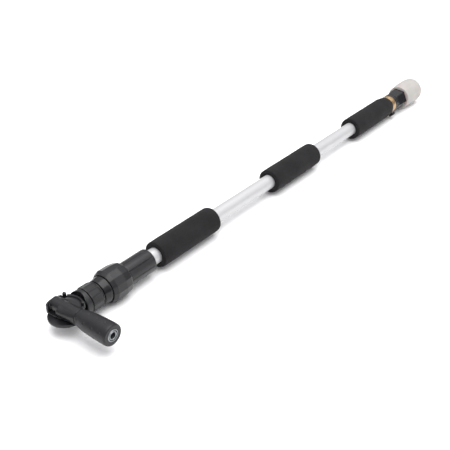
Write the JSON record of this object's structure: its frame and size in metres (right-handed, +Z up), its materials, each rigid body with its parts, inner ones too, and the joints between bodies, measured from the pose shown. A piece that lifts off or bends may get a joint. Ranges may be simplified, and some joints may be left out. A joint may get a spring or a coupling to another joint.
{
  "type": "boom pole",
  "caption": "Telescoping hand-held boom pole with foam grips, a twist-lock collar, a swivelling side handle with a threaded end and a capped butt.",
  "frame": {"origin": "centre of the underside of the whole pole's box, lying on its side with the handle out level", "axes": "+Y along the pole from the head to the butt cap; +X the way the side handle points at rest; +Z up"},
  "size_m": [0.1168, 1.044, 0.0504],
  "materials": {
    "tube": "satin anodised",
    "foam": "matte closed-cell foam",
    "black_plastic": "matte moulded",
    "gloss_black": "gloss moulded",
    "grip_rubber": "matte rubber",
    "rubber_seal": "matte rubber",
    "white_plastic": "smooth acetal",
    "frosted_plastic": "frosted, slightly see-through",
    "brass": "satin turned",
    "steel": "plated"
  },
  "bodies": {
    "pole": {"outer_tube": "tube", "foam_grip_front": "foam", "foam_grip_middle": "foam", "foam_grip_rear": "foam", "lock_sleeve": "black_plastic", "lock_collet": "white_plastic", "sleeve_o_ring": "rubber_seal", "lug_ring": "black_plastic", "brass_ring": "brass", "seal_ring": "black_plastic", "butt_ferrule": "black_plastic", "nozzle_o_ring": "rubber_seal"},
    "collar": {"lock_collar": "black_plastic"},
    "extension": {"inner_tube": "tube", "guide_bush": "white_plastic", "inner_tube_plug": "black_plastic", "head_socket": "gloss_black", "socket_pin": "steel"},
    "head_nut": {"ring_nut": "black_plastic"},
    "knuckle": {"knuckle_body": "black_plastic", "stem_ring": "steel", "roll_washer": "steel", "thrust_washer": "white_plastic"},
    "handle": {"handle_arm": "black_plastic", "rim_pegs": "black_plastic", "hand_grip": "grip_rubber", "thread_insert": "steel", "pivot_bolt": "steel", "pivot_nut": "brass", "spring_washer": "steel"},
    "butt_nut": {"hex_nut": "gloss_black"},
    "cap": {"butt_cap": "frosted_plastic"}
  },
  "joints": [
    {"name": "telescope", "type": "slide", "parent": "pole", "child": "extension", "axis": [0, -1, 0], "range_m": [0, 0.5]},
    {"name": "collar_twist", "type": "hinge", "parent": "pole", "child": "collar", "pos_m": [-0.032, -0.4095, 0.0252], "axis": [0, 1, 0], "range_deg": [0, 120]},
    {"name": "head_nut_twist", "type": "hinge", "parent": "extension", "child": "head_nut", "pos_m": [-0.032, -0.4525, 0.0252], "axis": [0, 1, 0], "range_deg": [0, 180]},
    {"name": "head_roll", "type": "hinge", "parent": "extension", "child": "knuckle", "pos_m": [-0.032, -0.4575, 0.0252], "axis": [0, 1, 0], "range_deg": [-90, 90]},
    {"name": "handle_swivel", "type": "hinge", "parent": "knuckle", "child": "handle", "pos_m": [-0.032, -0.497, 0.0327], "axis": [0, 0, 1], "range_deg": [-180, 10]},
    {"name": "butt_nut_twist", "type": "hinge", "parent": "pole", "child": "butt_nut", "pos_m": [-0.032, 0.4375, 0.0252], "axis": [0, 1, 0], "range_deg": [0, 180]},
    {"name": "cap_pull", "type": "slide", "parent": "pole", "child": "cap", "axis": [0, 1, 0], "range_m": [0, 0.03]}
  ]
}
